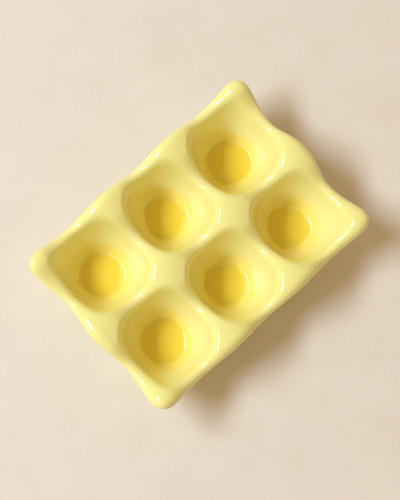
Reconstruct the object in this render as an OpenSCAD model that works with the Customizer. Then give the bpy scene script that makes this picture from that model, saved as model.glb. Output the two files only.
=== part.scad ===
// Egg tray: rows of round wells in one glazed ceramic shell that stands on the bottoms of its cups.
// The origin is under the middle of the tray, on the surface it stands on. X runs along the rows, Z is up.

/* [Wells] */
// Wells in each row
columns = 3; // [1:1:5]
// Rows of wells
rows = 2; // [1:1:4]
// Distance between the centres of neighbouring wells
well_pitch = 48.5; // [44:0.5:56]
// Depth of a well from the post tops to its floor
well_depth = 32; // [24:0.5:40]
// Radius of a well's mouth, where its wall would reach the post tops
mouth_r = 25.2; // [24.4:0.1:27]
// Radius of the flat floor of a well
floor_r = 11.4; // [9:0.1:14]
// Height over which the wall curves into the floor
floor_soft = 6; // [2:0.5:9]
// How much the corner wells widen towards the tray's corners
corner_scoop = 3.6; // [0:0.1:5]
// How much further the wells widen towards the long sides of the tray
side_out = 2.4; // [0:0.1:3]

/* [Ridges and posts] */
// Radius of the rounded ridge between two wells
ridge_r = 3.4; // [2:0.1:4.5]
// Height over which a wall curves onto a post
post_soft = 5; // [2:0.5:8]
// How far the domes of the posts fall towards the ridges
post_dome = 5; // [0:0.5:8]

/* [Lip] */
// How much further out the outer line of posts lies than half a pitch from its wells
rim_out = 1.6; // [0:0.1:3]
// How high the outer ridges are: as high as a ridge that lies this much past half a pitch
rim_rise = 0.4; // [0:0.1:1.6]
// Reach of the lip past the outer line of posts
lip_reach = 5.8; // [4.6:0.1:9]
// Thickness of the lip, whose edge is fully rounded
lip_t = 5.2; // [3.6:0.1:7]
// How far the lip curves down from the line of posts to its edge
lip_fall = 2.6; // [0:0.1:3.4]
// Radius of the tray's corners, seen from above
corner_r = 8.5; // [6:0.1:12]
// Depth of the waves in the short ends, beside each well
wave_ends = 3.2; // [0:0.1:3.2]
// Depth of the waves in the long sides
wave_sides = 1; // [0:0.1:3.2]

/* [Walls] */
// Thickness of a well's wall, measured level
wall_t = 4; // [3.4:0.1:6]
// Thickness of a well's floor with its glaze
floor_t = 4.8; // [3.6:0.1:8]
// Softness of the grooves between the cups underneath
groove_blend = 4; // [1:0.5:6]

/* [Glaze] */
// Thickness of the glaze coats
glaze_t = 0.6; // [0.3:0.1:1]
// Thickness of a pool of glaze in its middle
pool_t = 0.9; // [0.5:0.1:2]
// Thickness of a pool at its rim
pool_edge_t = 0.3; // [0.2:0.1:0.4]
// Gap between a pool and the foot of the well's wall
pool_gap = 0.3; // [0.1:0.1:1]

/* [Feet] */
// Height of the glazed cup bottoms above the table
foot_lift = 1.2; // [0.8:0.1:4]
// Width of a foot ring
foot_w = 3; // [2:0.1:5]
// Distance of a foot ring from the edge of its cup's flat bottom
foot_margin = 2.4; // [1:0.1:4]
// Chamfer along the standing edges of a foot ring
foot_chamfer = 0.5; // [0.2:0.1:0.7]
// Gap in the glaze around a foot ring
foot_gap = 0.3; // [0.2:0.1:1]

/* [Hidden] */
// Facets: spokes across one side of a cell, rays across a corner, steps of a pool's surface
side_spokes = 8;
corner_rays = 3;
pool_steps = 8;
$fn = 96;
// Rings of a cell from the flat middle out to its sides, and rows of the lip from the posts to the edge
ring_shares = [0, 0.15, 0.35, 0.58, 0.74, 0.88, 1];
lip_shares = [0, 0.35, 0.65, 0.88, 1];
// Step used to measure how steep a surface is
probe = 0.05;

// Levels
floor_z = foot_lift + floor_t;

// Half the tray's size over its square cells, and out to the outer lines of posts
cells_x = columns * well_pitch / 2;
cells_y = rows * well_pitch / 2;
posts_x = cells_x + rim_out;
posts_y = cells_y + rim_out;

// The four sides in turn, anticlockwise from the right: outward direction, direction along the side,
// distance out to the posts, half length over the cells and depth of the waves
wave_most = lip_reach - lip_t / 2;
end_wave = min(wave_ends, wave_most);
side_wave = min(wave_sides, wave_most);
sides = [
    [[1, 0], [0, 1], posts_x, cells_y, end_wave],
    [[0, 1], [-1, 0], posts_y, cells_x, side_wave],
    [[-1, 0], [0, -1], posts_x, cells_y, end_wave],
    [[0, -1], [1, 0], posts_y, cells_x, side_wave],
];

// A well's wall is a cone. Two cones meet in a ridge of this half width, whose middle stands this high.
wall_slope = (well_depth + floor_soft) / (mouth_r - floor_r);
wall_length = norm([1, wall_slope]);
ridge_half = ridge_r * wall_slope / wall_length;
ridge_rise = wall_z(well_pitch / 2) - ridge_r * (wall_length - 1) - floor_z;

// Underneath and on the floor
cup_flat_r = floor_r + wall_t;
foot_r = cup_flat_r - foot_margin;
foot_hole_r = foot_r + foot_gap;
pool_r = floor_r - pool_gap;

// Mesh counts
wells = columns * rows;
spokes = 4 * side_spokes;
rings = len(ring_shares) + 1;
rim_rays = 4 * corner_rays + 2 * side_spokes * (columns + rows) - 4;
sheet_size = wells * (1 + rings * spokes) + len(lip_shares) * rim_rays;

function pool_name(n) = str("glaze_pool_", n + 1);
function foot_name(n) = str("foot_ring_", n + 1);

// Centre of a well, counted along the rows from the front left
function well_at(n) =
    [(n % columns + 0.5) * well_pitch - cells_x, (floor(n / columns) + 0.5) * well_pitch - cells_y];

// The lower of two heights with the crease between them softened over a blend, and the higher
function soft_min(a, b, blend) =
    let (near = max(blend - abs(a - b), 0))
    min(a, b) - near * near / (4 * blend);
function soft_max(a, b, blend) = -soft_min(-a, -b, blend);

// The lower of two walls, with a round ridge between them
function ridge_min(a, b) =
    let (away = abs(a - b) / (2 * wall_slope))
    away > ridge_half ? min(a, b)
    : (a + b) / 2 - ridge_r * wall_length + sqrt(pow(ridge_r, 2) - pow(away, 2));

// Height of a well's wall, some distance from the middle of the well
function wall_z(r) = floor_z - floor_soft + wall_slope * (r - floor_r);

// Swell that is 0 on a well's centre line and 1 on the line of posts
function swell(share) = pow(sin(90 * share), 2);

// A place in one direction with the outer halves of the outer wells, which are wider, drawn in again
function drawn(t, half, wide) =
    let (h = well_pitch / 2, last = half - h, past = abs(t) - last)
    past > 0 ? sign(t) * (last + past * (h + rim_rise) / (h + rim_out + wide)) : t;

// Where a place lies in its cell in one direction: distance from the well's centre line, and how far the
// line of ridges is. Past the outer ridges it stays on their line.
function in_cell(t, half, wide = 0) =
    let (h = well_pitch / 2, past = abs(drawn(t, half, wide)) - half + h)
    past > 0 ? [min(past, h + rim_rise), h + rim_rise]
    : [abs((t + half) % well_pitch - h), h];
function across_cell(p) = in_cell(p.x, cells_x);
function along_cell(p) = in_cell(p.y, cells_y, side_out);

// Swell of a whole place, 1 only at a post, and whether the place lies in a corner of the tray
function post_swell(across, along) = swell(across[0] / across[1]) * swell(along[0] / along[1]);
function in_corner(p) =
    let (h = well_pitch / 2)
    abs(p.x) > cells_x - h && abs(p.y) > cells_y - h;

// How far the walls drop where a well widens towards a corner of the tray
function scoop(p) =
    !in_corner(p) ? 0
    : wall_slope * corner_scoop * post_swell(across_cell(p), along_cell(p));

// How far the lip has curved down at a place past the outer line of posts
function lip_drop(p) =
    let (past = norm([max(abs(p.x) - posts_x, 0), max(abs(p.y) - posts_y, 0)]))
    lip_fall * pow(past / lip_reach, 2);

// Height of the glazed top: the walls of the four nearest wells, domed posts, flat floors and the lip
function top_z(p) =
    let (
        across = across_cell(p), u = across[0], far_u = 2 * across[1] - u,
        along = along_cell(p), v = along[0], far_v = 2 * along[1] - v,
        near = ridge_min(wall_z(norm([u, v])), wall_z(norm([far_u, v]))),
        far = ridge_min(wall_z(norm([u, far_v])), wall_z(norm([far_u, far_v]))),
        walls = ridge_min(near, far) - scoop(p),
        posts = floor_z + well_depth - post_dome * (1 - post_swell(across, along))
    )
    soft_max(soft_min(walls, posts, post_soft), floor_z, floor_soft) - lip_drop(p);

// Outside of one cup: the well's wall moved out by its thickness, and lowered by the scoop's drop
function cup_z(r, drop) = foot_lift + soft_max(wall_z(r - wall_t) - drop - floor_z, 0, floor_soft);

// All cups together, from well n on
function cups_z(p, n = 0) =
    let (
        place = [drawn(p.x, cells_x, 0), drawn(p.y, cells_y, side_out)],
        here = cup_z(norm(place - well_at(n)), scoop(p))
    )
    n == wells - 1 ? here : soft_min(here, cups_z(p, n + 1), groove_blend);

// Glazed underside: the cups, and the lip's thickness below the top
function under_z(p) =
    let (top = top_z(p))
    soft_min(top - lip_t * min((top - floor_z) / ridge_rise, 1), cups_z(p), groove_blend);

// Height of either face, up for the top and down for the underside
function face_z(p, up) = up ? top_z(p) : under_z(p);

// Length of a face's normal for a level step of 1, which turns a thickness into a height
function steepness(p, up) =
    let (
        dx = face_z(p + [probe, 0], up) - face_z(p - [probe, 0], up),
        dy = face_z(p + [0, probe], up) - face_z(p - [0, probe], up)
    )
    norm([dx, dy, 2 * probe]) / (2 * probe);

// A point of a face that lies some depth under the glaze. Near the edge of the lip, edge_gap away from
// it, both faces draw in to the middle of the lip along a quarter round.
function face_point(p, up, depth, edge_gap) =
    let (
        turn = up ? 1 : -1,
        middle_z = top_z(p) - lip_t / 2,
        full_z = face_z(p, up) - turn * depth * steepness(p, up),
        open = sqrt(1 - pow(1 - min(edge_gap / (lip_t / 2 - depth), 1), 2))
    )
    [p.x, p.y, middle_z + open * (full_z - middle_z)];

// A place on the square cells, with the outer halves of the outer wells widened to the line of posts
function widened(t, half) =
    let (h = well_pitch / 2)
    t + sign(t) * rim_out * max(abs(t) - half + h, 0) / h;

// End of a cell's spoke on the side of the cell, seen from the well
function spoke_end(n, k) =
    let (
        h = well_pitch / 2,
        t = 2 * h * (k % side_spokes) / side_spokes - h,
        turns = floor(k / side_spokes),
        end = turns == 0 ? [h, t] : turns == 1 ? [-t, h] : turns == 2 ? [-h, -t] : [t, -h],
        p = well_at(n) + end
    )
    [widened(p.x, cells_x), widened(p.y, cells_y)] - well_at(n);

// Ring of a cell: the first two are circles on the flat middle, the rest spread out to the cell's sides
function ring_point(n, m, k, up) =
    let (
        end = spoke_end(n, k),
        flat_r = up ? floor_r : cup_flat_r,
        inner_r = up ? pool_r : foot_hole_r,
        reach = m == 0 ? inner_r : flat_r + (norm(end) - flat_r) * ring_shares[m - 1]
    )
    well_at(n) + end * reach / norm(end);

// Rays of the lip, each from a point on the outer line of posts to the tray's edge
function side_rays(side, depth) =
    let (
        out = side[0], along = side[1], far = side[2], half = side[3], wave = side[4],
        step = well_pitch / side_spokes
    )
    [for (i = [1 : round(2 * half / step) - 1])
        let (
            t = widened(i * step - half, half),
            place = in_cell(t, half),
            past = max(abs(t) - (half + rim_out + lip_reach - corner_r), 0),
            rounding = corner_r - sqrt(pow(corner_r, 2) - pow(past, 2)),
            reach = lip_reach - depth - max(wave * (1 - swell(place[0] / place[1])), rounding)
        )
        [out * far + along * t, out * (far + reach) + along * t]];

function corner_fan(side, depth) =
    let (
        out = side[0], along = side[1], far = side[2], half = side[3] + rim_out,
        inset = lip_reach - corner_r,
        centre = out * (far + inset) + along * (half + inset)
    )
    [for (i = [1 : corner_rays])
        let (turn = 90 * i / (corner_rays + 1))
        [out * far + along * half, centre + (corner_r - depth) * (out * cos(turn) + along * sin(turn))]];

function rim(depth) = [for (side = sides) each concat(side_rays(side, depth), corner_fan(side, depth))];

// All points of one sheet: the middles of the wells, their rings and the rows of the lip
function sheet_points(up, depth) =
    let (rays = rim(depth), far = lip_reach + corner_r)
    concat(
        [for (n = [0 : wells - 1]) face_point(well_at(n), up, depth, far)],
        [for (n = [0 : wells - 1], m = [0 : rings - 1], k = [0 : spokes - 1])
            face_point(ring_point(n, m, k, up), up, depth, far)],
        [for (share = lip_shares, ray = rays)
            face_point(ray[0] + (ray[1] - ray[0]) * share, up, depth, norm(ray[1] - ray[0]) * (1 - share))]
    );

// Places in the list of points
function ring_at(n, m, k) = wells + (n * rings + m) * spokes + k % spokes;
function lip_at(row, j) = wells * (1 + rings * spokes) + row * rim_rays + j % rim_rays;

// The strip of faces between two neighbouring rings of a cell, or rows of the lip, at one spoke or ray
function halves(a, b, c, d) = [[a, b, c], [a, c, d]];
function ring_strip(n, m, k) =
    halves(ring_at(n, m, k), ring_at(n, m, k + 1), ring_at(n, m + 1, k + 1), ring_at(n, m + 1, k));
function lip_strip(row, j) =
    halves(lip_at(row, j), lip_at(row, j + 1), lip_at(row + 1, j + 1), lip_at(row + 1, j));

// The rays of a corner's fan start at one point, so their first row is single triangles
function in_fan(j, rays) = rays[j][0] == rays[(j + 1) % rim_rays][0];

// All faces of one sheet. The middles of the cells can be left open.
function sheet_faces(holed) =
    let (rays = rim(0))
    concat(
        [for (n = [0 : wells - 1], k = [0 : spokes - 1]) if (!holed)
            [n, ring_at(n, 0, k + 1), ring_at(n, 0, k)]],
        [for (n = [0 : wells - 1], m = [0 : rings - 2], k = [0 : spokes - 1]) each ring_strip(n, m, k)],
        [for (row = [0 : len(lip_shares) - 2], j = [0 : rim_rays - 1])
            each row == 0 && in_fan(j, rays) ? [lip_strip(row, j)[1]] : lip_strip(row, j)]
    );

// Faces moved on in the list of points, or turned over
function moved(faces, by) = [for (f = faces) [for (i = f) i + by]];
function turned(faces) = [for (f = faces) [f[2], f[1], f[0]]];

// The band that closes two sheets along the edge of the lip
function edge_faces() =
    [for (j = [0 : rim_rays - 1])
        let (here = lip_at(len(lip_shares) - 1, j), next = lip_at(len(lip_shares) - 1, j + 1))
        each halves(here, next, sheet_size + next, sheet_size + here)];

// The walls of the holes that the feet stand through
function hole_faces() =
    [for (n = [0 : wells - 1], k = [0 : spokes - 1])
        let (here = ring_at(n, 0, k), next = ring_at(n, 0, k + 1))
        each halves(next, here, sheet_size + here, sheet_size + next)];

// The fired shell between its two glaze coats. Its two sheets meet along the edge of the lip.
module clay_body() {
    faces = sheet_faces(false);
    color("antiquewhite")
        polyhedron(
            concat(sheet_points(true, glaze_t), sheet_points(false, glaze_t)),
            concat(faces, moved(turned(faces), sheet_size))
        );
}

// The glaze over the top, into the wells and out to the middle of the lip's edge
module top_glaze() {
    faces = sheet_faces(false);
    color("khaki")
        polyhedron(
            concat(sheet_points(true, 0), sheet_points(true, glaze_t)),
            concat(faces, moved(turned(faces), sheet_size), edge_faces())
        );
}

// The glaze beneath, from the middle of the lip's edge to the feet
module underside_glaze() {
    faces = sheet_faces(true);
    color("gold")
        polyhedron(
            concat(sheet_points(false, glaze_t), sheet_points(false, 0)),
            concat(faces, moved(turned(faces), sheet_size), edge_faces(), hole_faces())
        );
}

// Glaze that ran down the wall and set on the floor, thin towards its rim
module glaze_pool(n) {
    surface = [for (i = [0 : pool_steps])
        let (share = 1 - i / pool_steps)
        [pool_r * share, pool_t - (pool_t - pool_edge_t) * pow(share, 4)]];
    color("goldenrod")
        translate([well_at(n).x, well_at(n).y, floor_z])
            rotate_extrude()
                polygon(concat([[0, 0], [pool_r, 0]], surface));
}

// The bare clay ring under a cup, chamfered where it stands
module foot_ring(n) {
    inner_r = foot_r - foot_w;
    top = foot_lift + glaze_t;
    color("tan")
        translate([well_at(n).x, well_at(n).y, 0])
            rotate_extrude()
                polygon([
                    [inner_r, top], [inner_r, foot_chamfer], [inner_r + foot_chamfer, 0],
                    [foot_r - foot_chamfer, 0], [foot_r, foot_chamfer], [foot_r, top],
                ]);
}

clay_body();
top_glaze();
underside_glaze();
for (n = [0 : wells - 1]) {
    glaze_pool(n);
    foot_ring(n);
}
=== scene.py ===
# %% [markdown]
# # A glazed egg tray
# The tray is one thin shell of fired clay. Six cups hang below a common lip, domed posts stand where
# four cups meet, and low round ridges run between neighbouring cups. A glossy yellow glaze covers it.
# On the way down into the wells the glaze runs, and where it stops it lies thick and turns amber.
#
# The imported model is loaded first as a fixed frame. Every piece made here stands exactly where its
# solid stands, so the sizes are read from the frame wherever the frame shows them.

# %% Load the frame
import math

import bmesh
import bpy
from mathutils import Matrix, Vector, noise


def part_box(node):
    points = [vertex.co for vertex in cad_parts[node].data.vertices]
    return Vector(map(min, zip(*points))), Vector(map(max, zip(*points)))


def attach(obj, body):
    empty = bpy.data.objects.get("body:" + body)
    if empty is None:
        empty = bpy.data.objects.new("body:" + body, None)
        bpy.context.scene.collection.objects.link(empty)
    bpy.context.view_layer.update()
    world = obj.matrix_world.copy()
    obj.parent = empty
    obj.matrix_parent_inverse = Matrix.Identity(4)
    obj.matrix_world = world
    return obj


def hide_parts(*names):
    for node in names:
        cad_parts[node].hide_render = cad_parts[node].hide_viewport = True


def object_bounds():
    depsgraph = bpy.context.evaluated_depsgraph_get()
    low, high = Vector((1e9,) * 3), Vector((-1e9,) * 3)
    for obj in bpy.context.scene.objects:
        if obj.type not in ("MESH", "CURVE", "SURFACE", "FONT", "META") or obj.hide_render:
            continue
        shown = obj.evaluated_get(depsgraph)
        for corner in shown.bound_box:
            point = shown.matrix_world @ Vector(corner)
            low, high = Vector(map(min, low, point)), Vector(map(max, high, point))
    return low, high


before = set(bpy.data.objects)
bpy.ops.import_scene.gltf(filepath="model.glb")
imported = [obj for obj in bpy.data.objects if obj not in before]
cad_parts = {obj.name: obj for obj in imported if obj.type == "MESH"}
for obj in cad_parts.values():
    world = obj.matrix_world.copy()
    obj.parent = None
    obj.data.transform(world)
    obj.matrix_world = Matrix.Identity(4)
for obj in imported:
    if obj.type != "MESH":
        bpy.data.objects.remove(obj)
solid_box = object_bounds()
WELLS = range(1, 7)
box_corners = [tuple(round(v, 4) for v in corner) for corner in solid_box]
print("solids:", len(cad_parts), "box:", box_corners)

# %% [markdown]
# ## Reading the sizes
# A pool of glaze fills the flat floor of each well, so the six pools tell where the wells are, how far
# apart they stand and how high the floors lie. The top coat's box gives the post tops and the reach of
# the lip. The radii that roll one surface into the next show in no box, so they are written here once.

# %% Sizes from the frame
MM = 0.001


def middle(node):
    low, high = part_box(node)
    return (low + high) / 2


def span(node):
    low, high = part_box(node)
    return high - low


centres = [middle(f"glaze_pool_{n}") for n in WELLS]
pitch = (centres[1] - centres[0]).length
columns = sum(abs(c.y - centres[0].y) < pitch / 2 for c in centres)
rows = len(centres) // columns
cells_x, cells_y = columns * pitch / 2, rows * pitch / 2

floor_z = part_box("glaze_pool_1")[0].z
post_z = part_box("top_glaze")[1].z
cup_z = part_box("underside_glaze")[0].z
edge_x, edge_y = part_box("top_glaze")[1].x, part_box("top_glaze")[1].y
depth = post_z - floor_z
print(f"wells {columns} x {rows}, pitch {pitch / MM:.1f} mm, depth {depth / MM:.1f} mm")

# %% Radii and thicknesses that no box shows
mouth_r = 25.2 * MM      # where a well's wall would reach the post tops
floor_r = 11.4 * MM      # flat floor
floor_soft = 6 * MM      # height of the curve from wall to floor
ridge_r = 3.4 * MM       # round ridge between two wells
post_soft = 5 * MM       # height of the curve from wall to post
post_dome = 5 * MM       # fall of the posts towards the ridges
corner_scoop = 3.6 * MM  # the corner wells widen this much towards the tray's corners
side_out = 2.4 * MM      # all wells widen this much towards the long sides
rim_out = 1.6 * MM       # the outer posts stand this much further from their wells
rim_rise = 0.4 * MM      # the outer ridges are as high as ridges this much past half a pitch
hand_sag = 0.5 * MM      # how uneven the casting is
hand_size = 16 * MM      # about how wide its dips are
lip_t = 5.2 * MM         # thickness of the lip
lip_fall = 2.6 * MM      # how far the lip rounds down from the posts to its edge
corner_r = 8.5 * MM      # corners, seen from above
wave_ends = 3.2 * MM     # waves in the short ends
wave_sides = 1.0 * MM    # waves in the long sides
wall_t = 4 * MM          # thickness of a cup's wall, measured level
groove_blend = 4 * MM    # softness where cups meet underneath
glaze_t = 0.6 * MM       # glaze coats
foot_gap = 0.3 * MM      # bare gap round a foot ring

posts_x, posts_y = cells_x + rim_out, cells_y + rim_out
lip_reach = edge_x - posts_x
wall_slope = (depth + floor_soft) / (mouth_r - floor_r)
wall_length = math.hypot(1, wall_slope)
ridge_half = ridge_r * wall_slope / wall_length
steepness = math.degrees(math.atan(wall_slope))
print(f"wall {steepness:.0f} degrees steep, lip reaches {lip_reach / MM:.1f} mm")

# %% [markdown]
# ## The shape of the top
# Each well is a cone, and the whole top is a handful of cones joined softly. Where two cones cross,
# the lower one wins and a round of `ridge_r` takes the crease away. The posts cut the cones off with a
# dome and the floors cut them off flat. The outer halves of the outer wells are stretched towards the
# sides of the tray, and the corner wells widen into its corners. Past the posts the lip rounds down,
# and a slow noise makes the top as uneven as a casting is.
#
# A height for every place is enough, because nothing overhangs. A subdivision cage could make the same
# forms, but each roundness would then be set by eye.

# %% Height of the glazed top
def soft_min(a, b, blend):
    near = max(blend - abs(a - b), 0)
    return min(a, b) - near * near / (4 * blend)


def soft_max(a, b, blend):
    return -soft_min(-a, -b, blend)


def wall_z(r):
    return floor_z - floor_soft + wall_slope * (r - floor_r)


def ridge_min(a, b):
    away = abs(a - b) / (2 * wall_slope)
    if away > ridge_half:
        return min(a, b)
    return (a + b) / 2 - ridge_r * wall_length + math.sqrt(ridge_r**2 - away**2)


def drawn(t, half, wide):
    """A place with the outer halves of the outer wells, which are wider, drawn in again."""
    last = half - pitch / 2
    if abs(t) <= last:
        return t
    share = (pitch / 2 + rim_rise) / (pitch / 2 + rim_out + wide)
    return math.copysign(last + (abs(t) - last) * share, t)


def in_cell(t, half, wide=0):
    """Distance from the nearest well's centre line, and how far the line of ridges is from it."""
    past = abs(drawn(t, half, wide)) - (half - pitch / 2)
    if past > 0:
        return min(past, pitch / 2 + rim_rise), pitch / 2 + rim_rise
    return abs((t + half) % pitch - pitch / 2), pitch / 2


def swell(share):
    return math.sin(math.pi / 2 * share) ** 2


def scoop(x, y):
    """How far the walls are lowered where a well widens towards a corner of the tray."""
    if abs(x) < cells_x - pitch / 2 or abs(y) < cells_y - pitch / 2:
        return 0
    u, u_post = in_cell(x, cells_x)
    v, v_post = in_cell(y, cells_y, side_out)
    return wall_slope * corner_scoop * swell(u / u_post) * swell(v / v_post)


def top_z(x, y):
    u, u_post = in_cell(x, cells_x)
    v, v_post = in_cell(y, cells_y, side_out)
    far_u, far_v = 2 * u_post - u, 2 * v_post - v
    near = ridge_min(wall_z(math.hypot(u, v)), wall_z(math.hypot(far_u, v)))
    far = ridge_min(wall_z(math.hypot(u, far_v)), wall_z(math.hypot(far_u, far_v)))
    walls = ridge_min(near, far) - scoop(x, y)
    dome = post_dome * (1 - swell(u / u_post) * swell(v / v_post))
    even = soft_max(soft_min(walls, post_z - dome, post_soft), floor_z, floor_soft)
    sag = hand_sag * (1 + noise.noise(Vector((x, y, even)) / hand_size)) / 2
    past = math.hypot(max(abs(x) - posts_x, 0), max(abs(y) - posts_y, 0))
    return even - sag * min((even - floor_z) / floor_soft, 1) - lip_fall * (past / lip_reach) ** 2


ridge_rise = wall_z(pitch / 2) - ridge_r * (wall_length - 1) - floor_z
print(f"ridges dip {(depth - ridge_rise) / MM:.1f} mm below the posts")

# %% [markdown]
# ## The shape underneath
# The outside of a cup is its wall moved out by the wall's thickness. The six cups flow together in soft
# grooves, and nowhere does the shell come closer to the top than the thickness of the lip. Growing the
# top sheet down by one thickness would be simpler, but every round ridge would leave a sharp groove.

# %% Height of the glazed underside
def under_z(x, y):
    cups = None
    for c in centres:
        r = math.hypot(drawn(x, cells_x, 0) - c.x, drawn(y, cells_y, side_out) - c.y)
        cup = cup_z + soft_max(wall_z(r - wall_t) - scoop(x, y) - floor_z, 0, floor_soft)
        cups = cup if cups is None else soft_min(cups, cup, groove_blend)
    top = top_z(x, y)
    return soft_min(top - lip_t * min((top - floor_z) / ridge_rise, 1), cups, groove_blend)


print(f"floor is {(floor_z - under_z(centres[0].x, centres[0].y)) / MM:.1f} mm thick")

# %% [markdown]
# ## Laying a grid over the tray
# Both coats start as a flat grid that `create_grid` makes. Its points are first spread over the tray's
# outline, seen from above: evenly between the posts, closer together over the lip, and squeezed from a
# square into a round at the corners. Then each point is lifted to its height. Towards the edge both
# coats draw in to the middle of the lip along a quarter round, so that they meet there.

# %% Spread a grid over the outline
GRID_PER_CELL = 54
LIP_ROWS = 14
LIP_CROWDING = 1.6  # how much closer the points lie towards the edge of the lip
TINY = 1e-9


def spread(s, cells, posts):
    """From a grid place, -1 to 1, to the line of posts and the share of the lip past it."""
    inner = cells * GRID_PER_CELL / (cells * GRID_PER_CELL + 2 * LIP_ROWS)
    if abs(s) <= inner:
        return posts * s / inner, 0
    share = (abs(s) - inner) / (1 - inner)
    return math.copysign(posts, s), 1 - (1 - share) ** LIP_CROWDING


def outline(s, t):
    """Place on the tray for a grid place, and its distance from the edge of the lip."""
    base_x, share_x = spread(s, columns, posts_x)
    base_y, share_y = spread(t, rows, posts_y)
    u, u_post = in_cell(base_x, cells_x)
    v, v_post = in_cell(base_y, cells_y)
    reach_x = lip_reach - wave_ends * (1 - swell(v / v_post))
    reach_y = lip_reach - wave_sides * (1 - swell(u / u_post))
    x, y = abs(base_x) + share_x * reach_x, abs(base_y) + share_y * reach_y
    gap_x, gap_y = posts_x + reach_x - x, posts_y + reach_y - y
    gap = gap_x * gap_y / max(math.hypot(gap_x, gap_y), TINY)
    p, q = (x - edge_x + corner_r) / corner_r, (y - edge_y + corner_r) / corner_r
    if p > 0 and q > 0:
        x = edge_x - corner_r + corner_r * p * math.sqrt(1 - q * q / 2)
        y = edge_y - corner_r + corner_r * q * math.sqrt(1 - p * p / 2)
    return math.copysign(x, s), math.copysign(y, t), gap


def new_coat(height):
    """A grid over the tray, lifted to a height, its edge drawn in to the middle of the lip."""
    half_lip = lip_t / 2
    bm = bmesh.new()
    bmesh.ops.create_grid(
        bm,
        x_segments=columns * GRID_PER_CELL + 2 * LIP_ROWS,
        y_segments=rows * GRID_PER_CELL + 2 * LIP_ROWS,
        size=1,
    )
    for v in bm.verts:
        x, y, gap = outline(v.co.x, v.co.y)
        opened = math.sqrt(1 - (1 - min(gap / half_lip, 1)) ** 2)
        lip_middle = top_z(x, y) - half_lip
        v.co = (x, y, lip_middle + opened * (height(x, y) - lip_middle))
    print("grid points spread over the tray:", len(bm.verts))
    return bm


# %% [markdown]
# ## From a sheet to a coat
# A coat of glaze is a skin with a thickness, so `solidify` grows the sheet into the clay. A Solidify
# modifier would do the same, but here the thick sheet is wanted at once. When a piece is handed over,
# edges that turn by more than `SHARP` are marked sharp, which keeps the smooth shading of the outside
# from bending round the rim into the hidden side.

# %% Close a coat and hand it over
SHARP = math.radians(40)


def thicken(bm, thickness):
    bm.normal_update()
    bmesh.ops.solidify(bm, geom=bm.faces[:], thickness=thickness)
    bmesh.ops.recalc_face_normals(bm, faces=bm.faces[:])


def new_piece(name, bm, node):
    """A finished piece that stands for a solid and rides with the tray."""
    for f in bm.faces:
        f.smooth = True
    for e in bm.edges:
        e.smooth = e.calc_face_angle(math.pi) < SHARP
    mesh = bpy.data.meshes.new(name)
    bm.to_mesh(mesh)
    bm.free()
    piece = bpy.data.objects.new(name, mesh)
    bpy.context.scene.collection.objects.link(piece)
    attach(piece, "root")
    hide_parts(node)
    print(name, "faces:", len(mesh.polygons))
    return piece


# %% [markdown]
# ## The coat on top
# This is the coat that the eye sees: over the posts and ridges, down the wells and round to the middle
# of the lip. With the two steps above it takes three lines.

# %% Top coat
coat = new_coat(top_z)
thicken(coat, glaze_t)
top_coat = new_piece("coat_top", coat, "top_glaze")

# %% [markdown]
# ## The coat beneath
# The kiln shelf would stick to glaze, so a potter wipes each foot bare. The lower coat therefore has a
# round hole around every foot ring. The faces inside the hole are deleted, and the points left along
# its ragged edge are moved out onto the circle. A Boolean with six cylinders could cut the holes too,
# but it leaves long thin faces, which shade badly.

# %% Underside coat
foot_r = span("foot_ring_1").x / 2
hole_r = foot_r + foot_gap


def from_foot(co):
    """The way from the nearest foot's middle to a point, seen from above."""
    flat = Vector((co.x, co.y, 0))
    return min((flat - Vector((c.x, c.y, 0)) for c in centres), key=lambda way: way.length)


def cut_foot_holes(bm):
    inside = [f for f in bm.faces if all(from_foot(v.co).length < hole_r for v in f.verts)]
    bmesh.ops.delete(bm, geom=inside, context="FACES")
    ragged = [v for v in bm.verts if v.is_boundary and from_foot(v.co).length < hole_r]
    for v in ragged:
        way = from_foot(v.co)
        v.co += way.normalized() * (hole_r - way.length)
    print("points moved onto the holes:", len(ragged))


coat = new_coat(under_z)
cut_foot_holes(coat)
bmesh.ops.reverse_faces(coat, faces=coat.faces[:])
thicken(coat, glaze_t)
under_coat = new_piece("coat_underside", coat, "underside_glaze")

# %% [markdown]
# ## The clay between the coats
# The fired shell hardly shows, but its bottom is bare inside the feet. It is made of the same two
# sheets, each moved in by the glaze's thickness along its normals. Both sheets come from equal grids, so
# the points along the edge of the lip pair up and are welded.

# %% Clay shell
EDGE_WELD = 1e-7


def new_clay():
    top, under = new_coat(top_z), new_coat(under_z)
    bmesh.ops.reverse_faces(under, faces=under.faces[:])
    for sheet in (top, under):
        sheet.normal_update()
        for v in sheet.verts:
            v.co -= v.normal * glaze_t
    for a, b in zip(top.verts, under.verts):
        if a.is_boundary:
            a.co = b.co = (a.co + b.co) / 2
    lower = bpy.data.meshes.new("lower")
    under.to_mesh(lower)
    under.free()
    top.from_mesh(lower)
    bpy.data.meshes.remove(lower)
    edge = [v for v in top.verts if v.is_boundary]
    bmesh.ops.remove_doubles(top, verts=edge, dist=EDGE_WELD)
    print("open edges left in the clay:", sum(e.is_boundary for e in top.edges))
    return top


shell = new_piece("clay_shell", new_clay(), "clay_body")

# %% [markdown]
# ## Pools of glaze
# Each pool is a shallow lens on the floor, thickest in the middle and thinned out to almost nothing at
# its rim, so that no step shows there. Half of its outline is drawn once and spun about the middle of
# its well. A scaled sphere would do too, but it would meet the floor in a steep rim.

# %% Pools
POOL_STEPS = 20
TURN_STEPS = 96
AXIS_WELD = 0.01 * MM
pool_edge_t = 0.01 * MM


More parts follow.
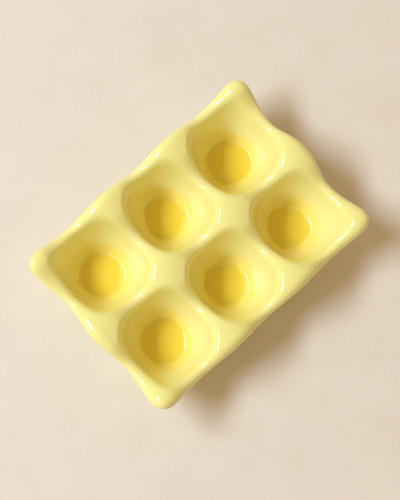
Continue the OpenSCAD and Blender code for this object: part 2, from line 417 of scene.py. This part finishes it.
def spun(profile, centre):
    """A profile of (radius, height) points, spun round an upright axis."""
    bm = bmesh.new()
    points = [bm.verts.new((centre.x + r, centre.y, z)) for r, z in profile]
    for a, b in zip(points, points[1:]):
        bm.edges.new((a, b))
    bmesh.ops.spin(
        bm,
        geom=bm.verts[:] + bm.edges[:],
        cent=(centre.x, centre.y, 0),
        axis=(0, 0, 1),
        angle=math.tau,
        steps=TURN_STEPS,
        use_merge=True,
    )
    bmesh.ops.remove_doubles(bm, verts=bm.verts[:], dist=AXIS_WELD)
    bmesh.ops.recalc_face_normals(bm, faces=bm.faces[:])
    return bm


pools = []
for n, centre in zip(WELLS, centres):
    node = f"glaze_pool_{n}"
    pool_r, pool_t = span(node).x / 2, span(node).z
    surface = []
    for i in range(POOL_STEPS + 1):
        share = i / POOL_STEPS
        swollen = (pool_t - pool_edge_t) * (1 - share**2) ** 2
        surface.append((pool_r * share, floor_z + pool_edge_t + swollen))
    profile = surface + [(pool_r, floor_z), (0, floor_z)]
    pools.append(new_piece(f"pool_{n}", spun(profile, centre), node))

# %% [markdown]
# ## Foot rings
# The bare rings that the cups stand on are turned in the clay. Six points outline a ring's section,
# which is spun about the middle of its well. The corners are then beveled a little, as a damp sponge
# leaves them. A torus would be quicker, but these rings stand flat on the table.

# %% Foot rings
foot_w = 3 * MM
foot_chamfer = 0.5 * MM
sponge_r = 0.2 * MM
FOOT_CORNER = math.radians(20)


def ring_section(top):
    inner = foot_r - foot_w
    return [
        (inner, top),
        (inner, foot_chamfer),
        (inner + foot_chamfer, 0),
        (foot_r - foot_chamfer, 0),
        (foot_r, foot_chamfer),
        (foot_r, top),
        (inner, top),
    ]


feet = []
for n, centre in zip(WELLS, centres):
    node = f"foot_ring_{n}"
    ring = spun(ring_section(span(node).z), centre)
    corners = [e for e in ring.edges if e.calc_face_angle(0) > FOOT_CORNER]
    bmesh.ops.bevel(
        ring,
        geom=corners,
        offset=sponge_r,
        offset_type="OFFSET",
        affect="EDGES",
        segments=3,
        profile=0.5,
        material=-1,
        clamp_overlap=True,
    )
    feet.append(new_piece(f"foot_{n}", ring, node))

# %% [markdown]
# ## Painting with nodes
# Every finish is a shader with a few nodes before it, which read the place on the tray. Adding each
# node by hand takes four lines, so a small painter does it: one short call for each kind of node.

# %% Helpers for materials
shade_shift_x = -1.3 * MM   # the amber is moved this far towards the shaded side of each well, a painted shade
run_out = 0.8 * MM  # and it gathers a little nearer to the long sides


def srgb(red, green, blue):
    """A colour as an image shows it, 0 to 255, made linear."""
    parts = [c / 255 for c in (red, green, blue)]
    return tuple(c / 12.92 if c <= 0.04045 else ((c + 0.055) / 1.055) ** 2.4 for c in parts) + (1,)


class Painter:
    """A new material and short ways to add nodes to it."""

    def __init__(self, name):
        self.material = bpy.data.materials.new(name)
        self.material.use_nodes = True
        self.nodes = self.material.node_tree.nodes
        self.links = self.material.node_tree.links
        self.shader = self.nodes["Principled BSDF"]
        self.place = self.nodes.new("ShaderNodeTexCoord").outputs["Object"]

    def put(self, socket, value):
        if isinstance(value, bpy.types.NodeSocket):
            self.links.new(value, socket)
        else:
            socket.default_value = value

    def math(self, operation, a, b=0.0, c=0.0):
        node = self.nodes.new("ShaderNodeMath")
        node.operation = operation
        for socket, value in zip(node.inputs, (a, b, c)):
            self.put(socket, value)
        return node.outputs[0]

    def parts(self, vector):
        node = self.nodes.new("ShaderNodeSeparateXYZ")
        self.put(node.inputs[0], vector)
        return node.outputs

    def noise(self, scale, detail=2.0, roughness=0.5):
        node = self.nodes.new("ShaderNodeTexNoise")
        self.put(node.inputs["Vector"], self.place)
        self.put(node.inputs["Scale"], scale)
        self.put(node.inputs["Detail"], detail)
        self.put(node.inputs["Roughness"], roughness)
        return node.outputs["Fac"]

    def between(self, value, low, high, to_low=0.0, to_high=1.0, smooth=True):
        node = self.nodes.new("ShaderNodeMapRange")
        node.interpolation_type = "SMOOTHSTEP" if smooth else "LINEAR"
        names = ("Value", "From Min", "From Max", "To Min", "To Max")
        for name, number in zip(names, (value, low, high, to_low, to_high)):
            self.put(node.inputs[name], number)
        return node.outputs[0]

    def mix(self, share, a, b):
        node = self.nodes.new("ShaderNodeMix")
        node.data_type = "RGBA"
        for name, value in (("Factor_Float", share), ("A_Color", a), ("B_Color", b)):
            self.put(next(s for s in node.inputs if s.identifier == name), value)
        return next(s for s in node.outputs if s.identifier == "Result_Color")

    def from_well(self):
        """Distance from the amber's middle in the nearest well, seen from above. The middle is moved
        towards the well's shaded side, a painted shade, and a little towards the long sides.
        """
        x, y = self.parts(self.place)[:2]
        # The well's middle is moved towards its shaded side, so the amber paints shade there.
        u = self.math("WRAP", self.math("SUBTRACT", x, centres[0].x + shade_shift_x), pitch / 2, -pitch / 2)
        v = self.math("SUBTRACT", self.math("ABSOLUTE", y), abs(centres[0].y) + run_out)
        squares = self.math("MULTIPLY", u, u), self.math("MULTIPLY", v, v)
        return self.math("SQRT", self.math("ADD", *squares))

    def bump(self, height, distance, strength=1.0, under=None):
        node = self.nodes.new("ShaderNodeBump")
        self.put(node.inputs["Height"], height)
        self.put(node.inputs["Distance"], distance)
        self.put(node.inputs["Strength"], strength)
        if under:
            self.put(node.inputs["Normal"], under)
        return node.outputs[0]

    def finish(self, **values):
        for name, value in values.items():
            self.put(self.shader.inputs[name.replace("_", " ").title().replace("Ior", "IOR")], value)
        print(self.material.name, "nodes:", len(self.nodes))
        return self.material


# %% [markdown]
# ## The yellow glaze
# Glaze is coloured glass. It is thin and pale where it runs off the posts and ridges, thick and deep
# near the floors. So the colour follows the height in the well, broken up by a cloudy noise. On the
# floors it turns amber, up to an uneven line, which lies further up the shaded side of each well as
# painted shade. The coat beneath has no pools and stays a little paler. A slow waviness in the bump
# bends the highlights, as a brushed coat does. A painted picture wrapped over the tray could carry these
# colours, but it would stretch on the steep walls.

# %% Yellow glaze
AMBER = srgb(234, 209, 63), srgb(240, 219, 85)
DEEP = srgb(246, 229, 116)
DEEP_OUTSIDE = srgb(248, 237, 142)
ON_WALLS = srgb(244, 240, 166)
ON_RIDGES = srgb(236, 234, 146), srgb(240, 241, 160)
amber_starts, amber_ends = 11.2 * MM, 13.2 * MM
amber_wander = 9 * MM
cloudiness = 0.25


def uneven(glaze, scale, size):
    """A noise about zero."""
    return glaze.math("MULTIPLY", glaze.math("SUBTRACT", glaze.noise(scale, detail=3), 0.5), size)


def amber_patch(glaze, colour):
    """The amber floor of a well, painted over a colour up to an uneven line near the pool's rim. The
    line lies further up the shaded side of the well, which paints shade there.
    """
    wander = uneven(glaze, 75, amber_wander)
    edge = glaze.between(glaze.math("ADD", glaze.from_well(), wander), amber_starts, amber_ends)
    thick = glaze.mix(glaze.noise(90, detail=3), *AMBER)
    return glaze.mix(edge, thick, colour)


def yellow_by_height(glaze, deep):
    """Deep colour low down, paler up the wall and thin on the posts and ridges."""
    z = glaze.parts(glaze.place)[2]
    rise = glaze.between(z, floor_z, post_z, smooth=False)
    level = glaze.math("ADD", rise, uneven(glaze, 55, cloudiness))
    thin = glaze.mix(glaze.noise(48, detail=4), *ON_RIDGES)
    colour = glaze.mix(glaze.between(level, 0.0, 0.3), deep, ON_WALLS)
    return glaze.mix(glaze.between(level, 0.35, 0.95), colour, thin)


def yellow_glaze(name, deep, pooled):
    """The coat's glaze: how deep its colour is low down, and whether it pools amber on the floors."""
    glaze = Painter(name)
    colour = yellow_by_height(glaze, deep)
    if pooled:
        colour = amber_patch(glaze, colour)
    waves = glaze.bump(glaze.noise(70, detail=1), 0.1 * MM)
    skin = glaze.bump(glaze.noise(900, detail=1), 0.01 * MM, under=waves)
    rough = glaze.between(glaze.noise(160, detail=2), 0.3, 0.7, 0.12, 0.18)
    return glaze.finish(
        base_color=colour,
        roughness=rough,
        normal=skin,
        specular_ior_level=0.3,
        coat_weight=0.6,
        coat_roughness=0.1,
    )


top_coat.data.materials.append(yellow_glaze("yellow_glaze", DEEP, True))
under_coat.data.materials.append(yellow_glaze("yellow_glaze_outside", DEEP_OUTSIDE, False))

# %% [markdown]
# ## The amber glaze
# In a pool the glaze is thickest, and it turns amber there. Its colour ends along an uneven line that
# runs partly over the pool and partly over the foot of the wall, so both glazes are painted with it. On
# the shaded side of each well the amber reaches further, a painted shade. Colouring only the pools would
# be simpler, but the amber would then end in six perfect circles.

# %% Amber glaze
def amber_glaze():
    amber = Painter("amber_glaze")
    colour = amber_patch(amber, yellow_by_height(amber, DEEP))
    waves = amber.bump(amber.noise(90, detail=1), 0.06 * MM)
    return amber.finish(
        base_color=colour,
        roughness=0.18,
        normal=waves,
        specular_ior_level=0.3,
        coat_weight=0.2,
        coat_roughness=0.09,
    )


amber = amber_glaze()
for piece in pools:
    piece.data.materials.append(amber)

# %% [markdown]
# ## Bare clay
# Bare clay shows only underneath, on the feet and inside them. Unglazed fired clay is matt and grainy,
# with a little iron in it that shows as fine brown specks. Specks lie flat in real clay, so a fine
# noise that is cut off near its top paints them, and only the grain goes into the bump.

# %% Bare clay
def bare_clay():
    clay = Painter("bare_clay")
    body = clay.mix(clay.noise(140, detail=4), srgb(226, 206, 172), srgb(240, 226, 200))
    specks = clay.between(clay.noise(1500, detail=0), 0.72, 0.78)
    colour = clay.mix(specks, body, srgb(150, 108, 70))
    grain = clay.bump(clay.noise(2200, detail=3), 0.06 * MM)
    return clay.finish(base_color=colour, roughness=0.85, normal=grain)


clay = bare_clay()
for piece in [shell] + feet:
    piece.data.materials.append(clay)

# %% [markdown]
# ## Table
# The tray lies on a plain pale surface, which catches the shadow. It is no part of the tray, so it is
# not attached to the tray's body. One flat grid is enough, and a faint cloudiness keeps it from looking
# like paper.

# %% Table
TABLE_HALF = 3


def table_top():
    table = Painter("table_top")
    cloud = table.noise(34, detail=8, roughness=0.65)
    colour = table.mix(cloud, srgb(221, 215, 210), srgb(235, 232, 230))
    grain = table.bump(table.noise(260, detail=4), 0.3 * MM, strength=0.5)
    return table.finish(base_color=colour, roughness=0.75, normal=grain)


bm = bmesh.new()
bmesh.ops.create_grid(bm, x_segments=1, y_segments=1, size=TABLE_HALF)
mesh = bpy.data.meshes.new("table")
bm.to_mesh(mesh)
bm.free()
table = bpy.data.objects.new("table", mesh)
bpy.context.scene.collection.objects.link(table)
table.data.materials.append(table_top())

# %% [markdown]
# ## Camera
# The photo looks down on the tray from nearly overhead, turned so that the long side runs from lower
# left to upper right. The three turns below take the tray's axes to the camera's axes. The camera
# then backs off along its own axis, with a small sideways step that centres the tray as in the photo.

# %% Camera
VIEW_TURN = math.radians(42.88)
VIEW_TILT = math.radians(-10.7)
VIEW_LEAN = math.radians(6.38)
VIEW_DISTANCE = 870.4 * MM
VIEW_STEP = (1.35 * MM, 5.56 * MM)
IMAGE_HEIGHT = 500
FOCAL_PIXELS = 1600

look = (
    Matrix.Rotation(VIEW_TILT, 3, "X")
    @ Matrix.Rotation(VIEW_LEAN, 3, "Y")
    @ Matrix.Rotation(VIEW_TURN, 3, "Z")
).transposed()
camera = bpy.data.objects.new("camera", bpy.data.cameras.new("camera"))
camera.data.sensor_fit = "VERTICAL"
camera.data.sensor_height = 24
camera.data.lens = camera.data.sensor_height * FOCAL_PIXELS / IMAGE_HEIGHT
camera.data.clip_start = 0.01
stand = look @ Vector((-VIEW_STEP[0], -VIEW_STEP[1], VIEW_DISTANCE)) + Vector((0, 0, post_z))
camera.matrix_world = Matrix.Translation(stand) @ look.to_4x4()
bpy.context.scene.collection.objects.link(camera)
bpy.context.scene.camera = camera
print("camera at", tuple(round(v, 3) for v in stand), "lens", camera.data.lens)

# %% [markdown]
# ## Light
# The shadow falls to the right of the picture and a little down, so the light stands at its left and a
# little up, about halfway to overhead. One long, cool lamp there works like a window and draws the thin
# curved highlights on the right edges of the wells. A dim warm surround fills the shadows, and the
# yellow walls light each other. A small lamp would do for the shadow, but its highlights would be dots.

# %% Light
LAMP_HEIGHT = math.radians(51)
LAMP_SWING = math.radians(16)
LAMP_DISTANCE = 2.4
LAMP_LENGTH, LAMP_WIDTH = 1.4, 0.52
LAMP_POWER = 51.0
LAMP_COLOUR = (0.845, 0.925, 1.0)
SURROUND_COLOUR = (1, 0.69, 0.36, 1)
SURROUND_STRENGTH = 0.52

way = look @ Vector((
    -math.cos(LAMP_HEIGHT) * math.cos(LAMP_SWING),
    math.cos(LAMP_HEIGHT) * math.sin(LAMP_SWING),
    math.sin(LAMP_HEIGHT),
))
light = bpy.data.lights.new("window", "AREA")
light.shape = "RECTANGLE"
light.size, light.size_y = LAMP_LENGTH, LAMP_WIDTH
light.energy, light.color = LAMP_POWER, LAMP_COLOUR
window = bpy.data.objects.new("window", light)
window.location = way * LAMP_DISTANCE
window.rotation_euler = (-way).to_track_quat("-Z", "Y").to_euler()
bpy.context.scene.collection.objects.link(window)
print("lamp at", tuple(round(v, 2) for v in window.location))

world = bpy.data.worlds.new("surround")
world.use_nodes = True
surround = world.node_tree.nodes["Background"]
surround.inputs["Color"].default_value = SURROUND_COLOUR
surround.inputs["Strength"].default_value = SURROUND_STRENGTH
bpy.context.scene.world = world
bpy.context.scene.view_settings.view_transform = "Standard"
